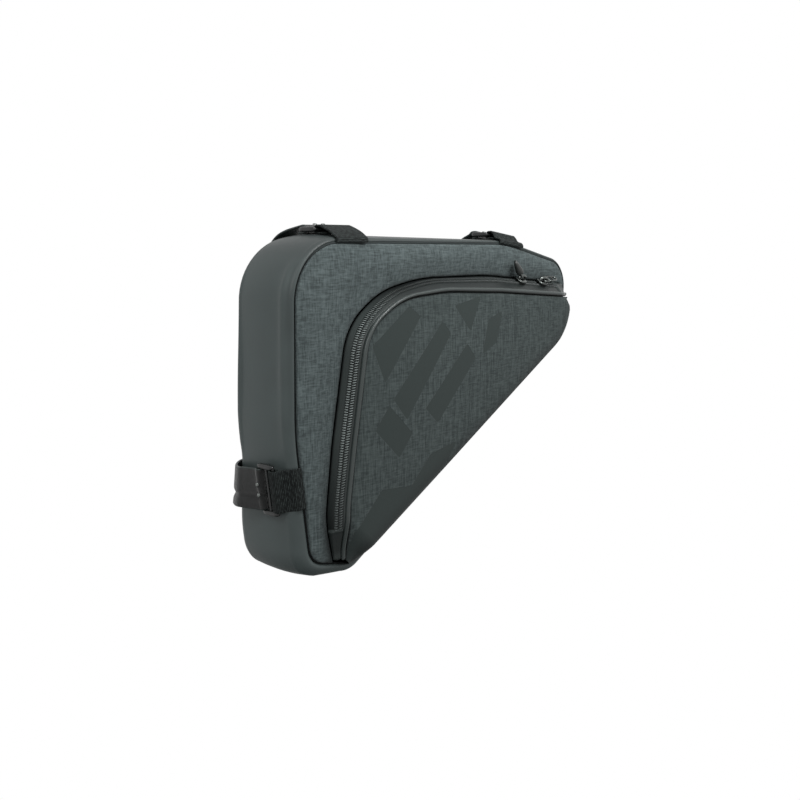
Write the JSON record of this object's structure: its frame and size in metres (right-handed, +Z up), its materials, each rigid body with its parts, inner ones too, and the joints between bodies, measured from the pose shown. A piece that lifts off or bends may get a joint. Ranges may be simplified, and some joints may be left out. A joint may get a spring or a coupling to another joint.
{
  "type": "bicycle frame bag",
  "caption": "Triangular soft frame bag for a bicycle, with a raised zipped pocket, strap loops along its top and on its seat tube end.",
  "frame": {"origin": "on the crest of the top panel between the two top straps, where the bicycle's top tube rests", "axes": "+X from the seat tube end towards the thin tip, +Z up from the top panel, the zipped side faces -Y"},
  "size_m": [0.3306, 0.0861, 0.2409],
  "materials": {
    "coated_charcoal": "satin coated cloth",
    "heather_grey": "woven heather cloth",
    "plain_black": "plain woven cloth",
    "zip_tape": "coated zip tape",
    "zip_coil": "satin coil teeth",
    "webbing": "ribbed webbing",
    "coated_strap": "coated strap, hook and loop inside",
    "buckle_plastic": "moulded satin",
    "dark_nickel": "dark nickel plate",
    "pull_rubber": "moulded satin"
  },
  "bodies": {
    "bag": {"gusset": "coated_charcoal", "far_panel": "plain_black", "side_band": "heather_grey", "front_panel": "heather_grey", "rim_piping": "coated_charcoal", "zip_tape": "zip_tape", "zip_coil": "zip_coil", "zip_stop_low": "coated_charcoal", "zip_stop_tip": "coated_charcoal", "slider_rear": "dark_nickel", "slider_front": "dark_nickel", "strap_rear_web": "webbing", "strap_rear_buckle": "buckle_plastic", "strap_rear_tail": "coated_strap", "strap_rear_rivet_a": "dark_nickel", "strap_rear_rivet_b": "dark_nickel", "strap_front_web": "webbing", "strap_front_buckle": "buckle_plastic", "strap_front_tail": "coated_strap", "strap_front_rivet_a": "dark_nickel", "strap_front_rivet_b": "dark_nickel", "strap_end_web": "webbing", "strap_end_buckle": "buckle_plastic", "strap_end_tail": "coated_strap", "strap_end_rivet_a": "dark_nickel", "strap_end_rivet_b": "dark_nickel"},
    "rear_tab": {"pull_rear": "pull_rubber"},
    "front_tab": {"pull_front": "pull_rubber"}
  },
  "joints": [
    {"name": "rear_tab_swing", "type": "hinge", "parent": "bag", "child": "rear_tab", "pos_m": [0.09803, -0.02205, -0.03223], "axis": [-0.5277, -0.7111, -0.4646], "range_deg": [-90, 0]},
    {"name": "front_tab_swing", "type": "hinge", "parent": "bag", "child": "front_tab", "pos_m": [0.12718, -0.02034, -0.03443], "axis": [0.001, -0.8134, -0.5818], "range_deg": [0, 132]}
  ]
}
